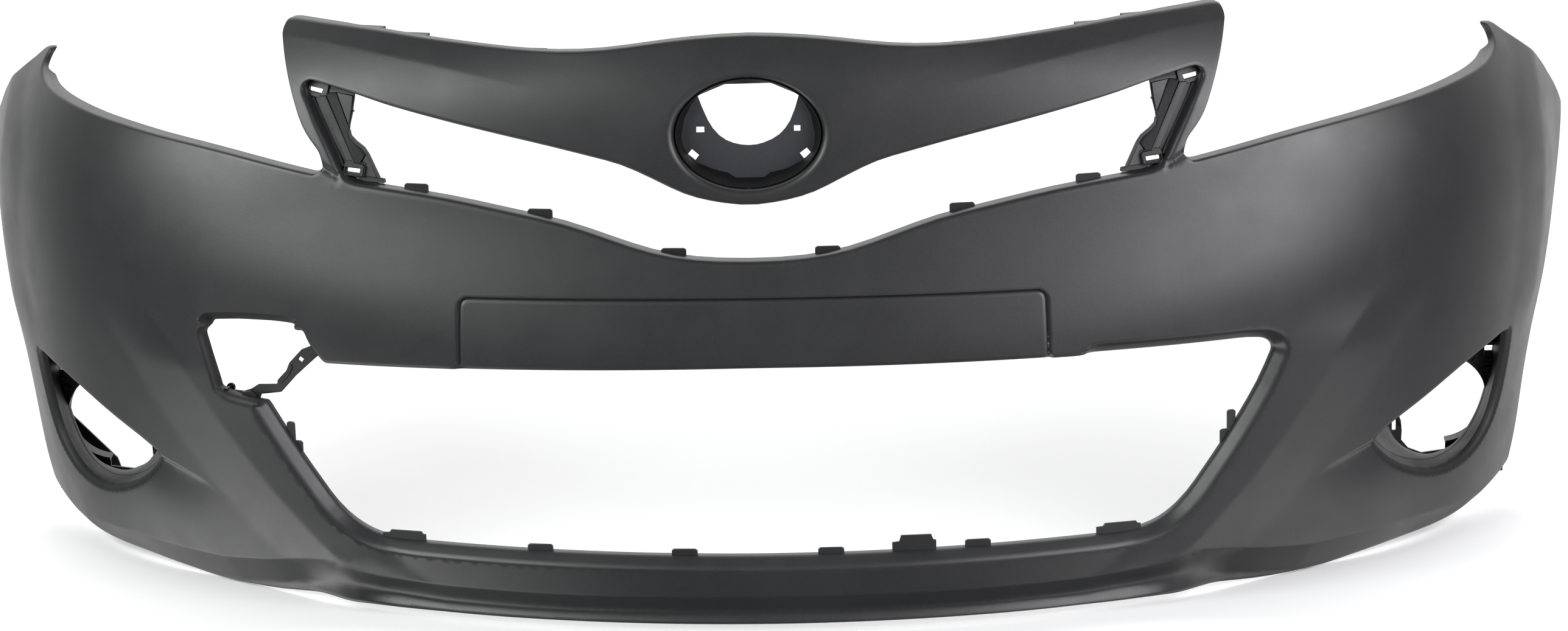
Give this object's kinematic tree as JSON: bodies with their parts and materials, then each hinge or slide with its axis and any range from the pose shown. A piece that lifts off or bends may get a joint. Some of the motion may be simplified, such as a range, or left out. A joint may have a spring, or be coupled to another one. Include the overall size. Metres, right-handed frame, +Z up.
{
  "type": "bumper cover",
  "caption": "Front bumper cover: thin curved skin with grille openings, oval emblem seat, fog lamp pockets, tow-eye opening and turned-back mounting edges.",
  "frame": {"origin": "bottom centre of the bounding box, on the ground under the middle of the cover", "axes": "+X across the car, +Y towards the back of the car so the nose faces -Y, +Z up"},
  "size_m": [1.7084, 0.5527, 0.601],
  "materials": {
    "primer": "satin dark grey primer on moulded plastic",
    "primer_inner": "thin overspray of grey primer in the emblem recess",
    "black_plastic": "bare black moulded plastic",
    "steel": "zinc plated steel"
  },
  "bodies": {
    "root": {"bumper_skin": "primer", "emblem_seat": "primer_inner", "emblem_seat_pins": "black_plastic", "grille_corner_bracket_left": "black_plastic", "grille_corner_bracket_right": "black_plastic", "bracket_screws_left": "steel", "bracket_screws_right": "steel", "fog_shroud_left": "black_plastic", "fog_shroud_right": "black_plastic", "fog_lamp_carrier_left": "black_plastic", "fog_lamp_carrier_right": "black_plastic", "fog_carrier_screws_left": "steel", "fog_carrier_screws_right": "steel", "tow_eye_bridge": "black_plastic", "tow_bridge_screws": "steel", "upper_retainer_left": "black_plastic", "upper_retainer_right": "black_plastic", "retainer_rivets_left": "black_plastic", "retainer_rivets_right": "black_plastic", "arch_clip_nuts_left": "steel", "arch_clip_nuts_right": "steel"}
  },
  "joints": []
}
